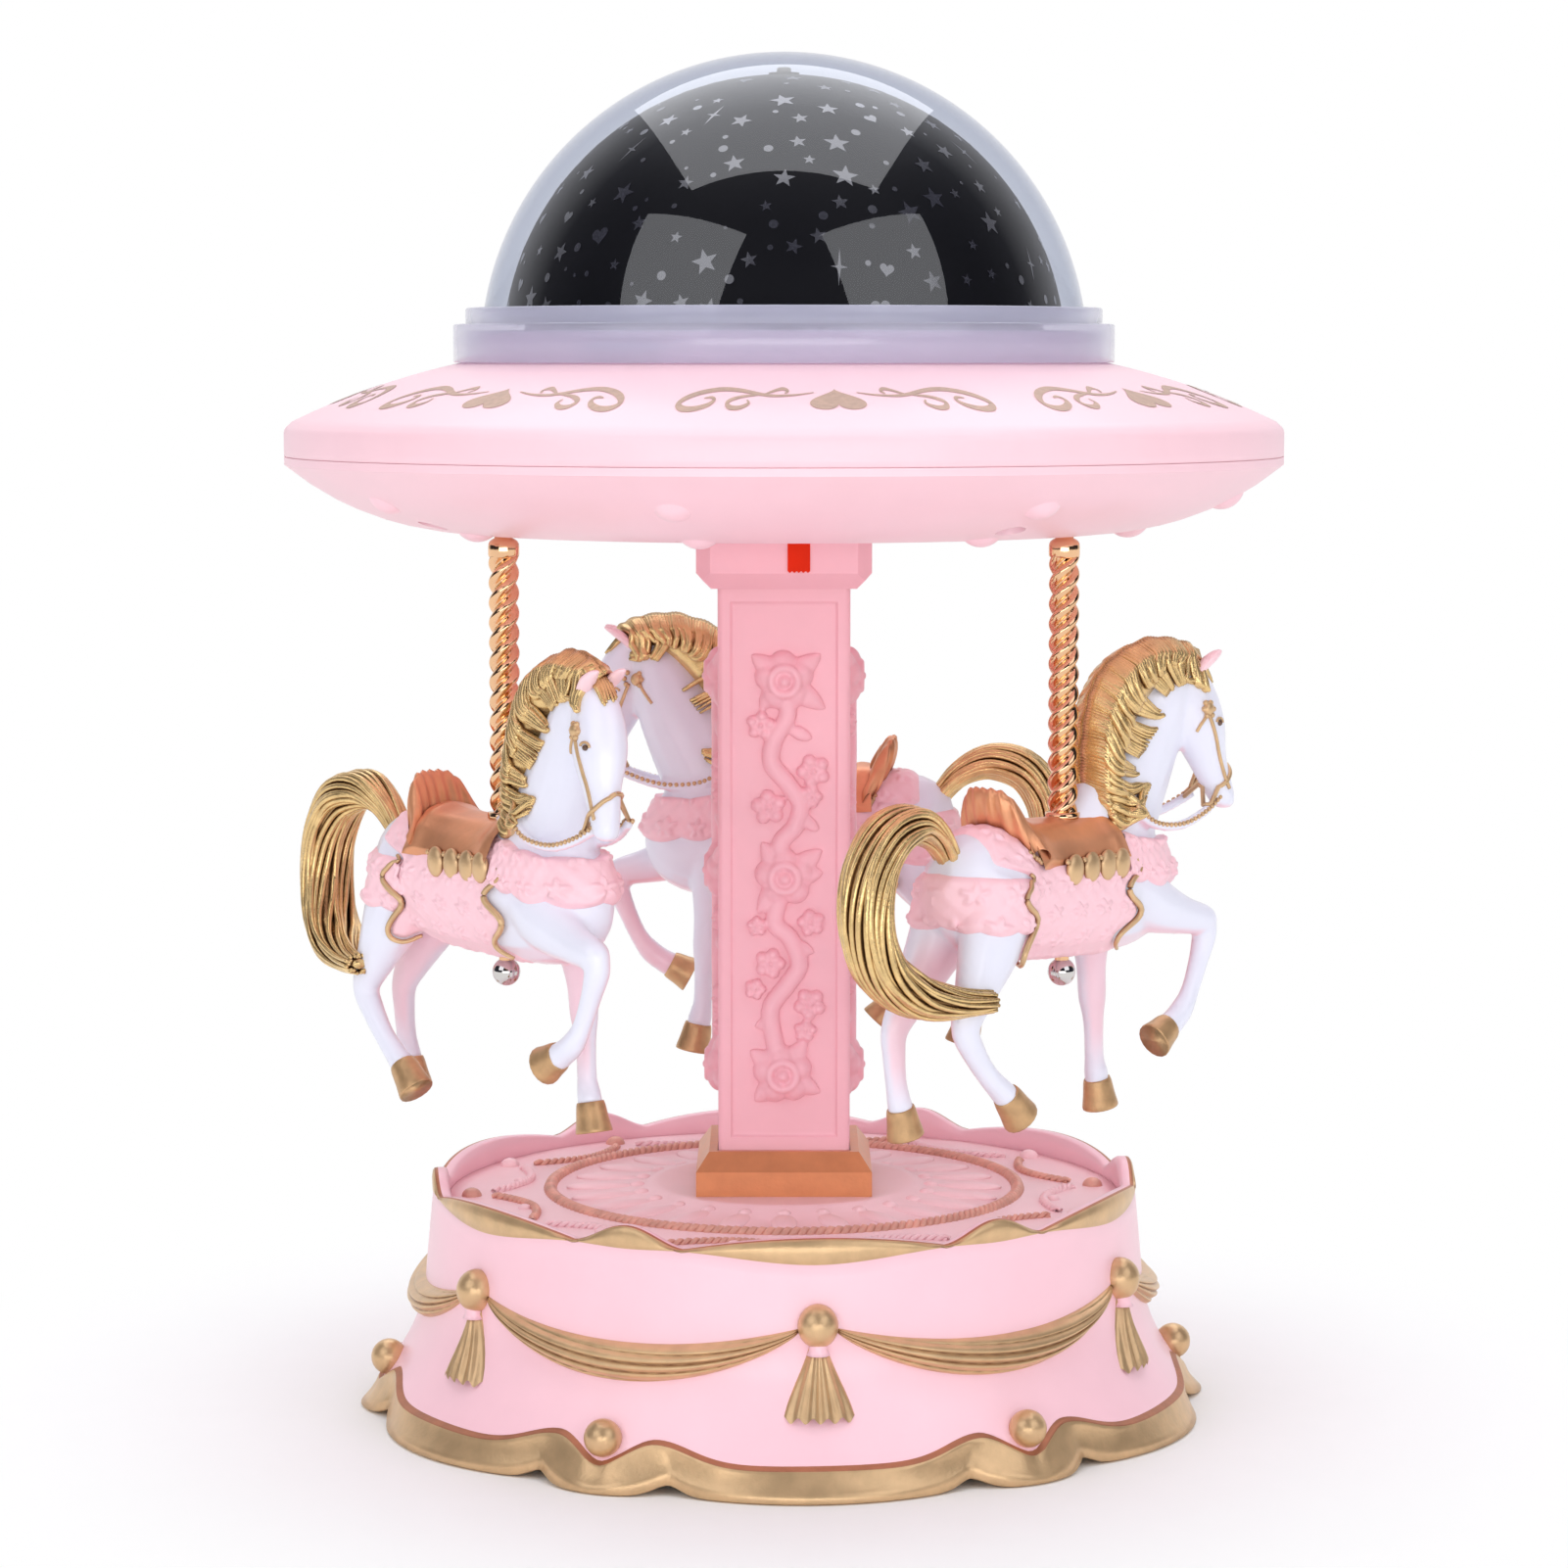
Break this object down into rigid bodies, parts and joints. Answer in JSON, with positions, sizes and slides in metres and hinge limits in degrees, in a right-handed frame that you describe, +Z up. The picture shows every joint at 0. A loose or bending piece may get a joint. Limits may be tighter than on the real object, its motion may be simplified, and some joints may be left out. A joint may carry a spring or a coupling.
{
  "type": "carousel music box",
  "caption": "Table carousel music box: horses on twisted poles under a turning canopy with a star-lamp dome, on a draped drum base with a wind-up movement.",
  "frame": {"origin": "middle of the base's lower edge, on the table", "axes": "+Z up along the carousel's axis, -Y to the front of the picture, +X to its right"},
  "size_m": [0.1705, 0.17, 0.232],
  "materials": {
    "base_pink": "satin painted resin, gold foot",
    "deck_gold": "satin painted resin",
    "column_pink": "satin painted resin",
    "copper_gold": "metallic paint",
    "red_tape": "plain tape",
    "canopy_pink": "glossy moulded plastic",
    "steel": "bare steel",
    "rose_chrome": "rose-gold plating",
    "chrome": "bright plating",
    "horse_white": "pearly paint on resin",
    "milky_collar": "milky moulded plastic",
    "clear_dome": "clear and polished",
    "black_dome": "glossy with pale printed stars",
    "black_plastic": "matt moulded plastic",
    "brass": "plain brass",
    "white_plastic": "matt moulded plastic",
    "green_board": "lacquered board",
    "lamp_lens": "clear lens",
    "cell_sleeve": "plain sleeve",
    "cast_bracket": "rough casting"
  },
  "bodies": {
    "base": {"base_shell": "base_pink", "bottom_plate": "black_plastic", "bottom_screws": "steel", "stage_deck": "deck_gold", "column": "column_pink", "column_screws": "steel", "column_plinth": "copper_gold", "column_capital": "column_pink", "tape_tab": "red_tape", "capital_bush": "brass", "thrust_washer": "steel", "movement_plate_lower": "brass", "movement_plate_upper": "brass", "movement_pillars": "brass", "movement_screws": "steel", "tuning_comb": "steel", "comb_bracket": "cast_bracket", "comb_screws": "steel"},
    "carousel": {"canopy_lower": "canopy_pink", "canopy_upper": "canopy_pink", "canopy_screws": "steel", "pole_1": "rose_chrome", "pole_2": "rose_chrome", "pole_3": "rose_chrome", "horse_1": "horse_white", "horse_2": "horse_white", "horse_3": "horse_white", "pole_balls": "chrome", "pole_nuts": "steel", "drive_shaft": "steel", "drive_hub": "white_plastic", "hub_screws": "steel", "spring_barrel": "brass", "barrel_lid": "brass", "mainspring": "steel", "lamp_plate": "white_plastic", "lamp_board": "green_board", "lamp_led": "lamp_lens", "battery_tray": "white_plastic", "battery_cells": "cell_sleeve", "light_switch_body": "black_plastic"},
    "dome": {"dome_collar": "milky_collar", "outer_dome": "clear_dome", "star_dome": "black_dome"},
    "music_cylinder": {"cylinder_arbor": "steel", "cylinder_drum": "brass", "cylinder_wheel": "brass"},
    "speed_train": {"train_wheel": "brass"},
    "governor": {"governor_fan": "brass"},
    "winding": {"winding_arbor": "steel", "winding_key": "brass"},
    "light_switch": {"light_switch_knob": "black_plastic"}
  },
  "joints": [
    {"name": "carousel_spin", "type": "hinge", "parent": "base", "child": "carousel", "pos_m": [0, 0, 0.1503], "axis": [0, 0, 1], "continuous": true},
    {"name": "cylinder_spin", "type": "hinge", "parent": "base", "child": "music_cylinder", "pos_m": [0.028, 0, 0.02], "axis": [0, 0, 1], "continuous": true},
    {"name": "train_spin", "type": "hinge", "parent": "base", "child": "speed_train", "pos_m": [0.034, 0.01039, 0.02], "axis": [0, 0, 1], "continuous": true},
    {"name": "governor_spin", "type": "hinge", "parent": "base", "child": "governor", "pos_m": [0.02629, 0.01959, 0.02], "axis": [0, 0, 1], "continuous": true},
    {"name": "winding_turn", "type": "hinge", "parent": "base", "child": "winding", "pos_m": [0, 0, 0.008], "axis": [0, 0, 1], "continuous": true},
    {"name": "dome_twist", "type": "hinge", "parent": "carousel", "child": "dome", "pos_m": [0, 0, 0.1849], "axis": [0, 0, 1], "range_deg": [0, 20]},
    {"name": "light_switch_slide", "type": "slide", "parent": "carousel", "child": "light_switch", "axis": [-0.5, -0.866, 0], "range_m": [0, 0.003]}
  ],
  "couplings": [
    {"joint": "cylinder_spin", "follows": "carousel_spin", "ratio": -2.5},
    {"joint": "train_spin", "follows": "carousel_spin", "ratio": 7.5},
    {"joint": "governor_spin", "follows": "carousel_spin", "ratio": -22.5}
  ]
}
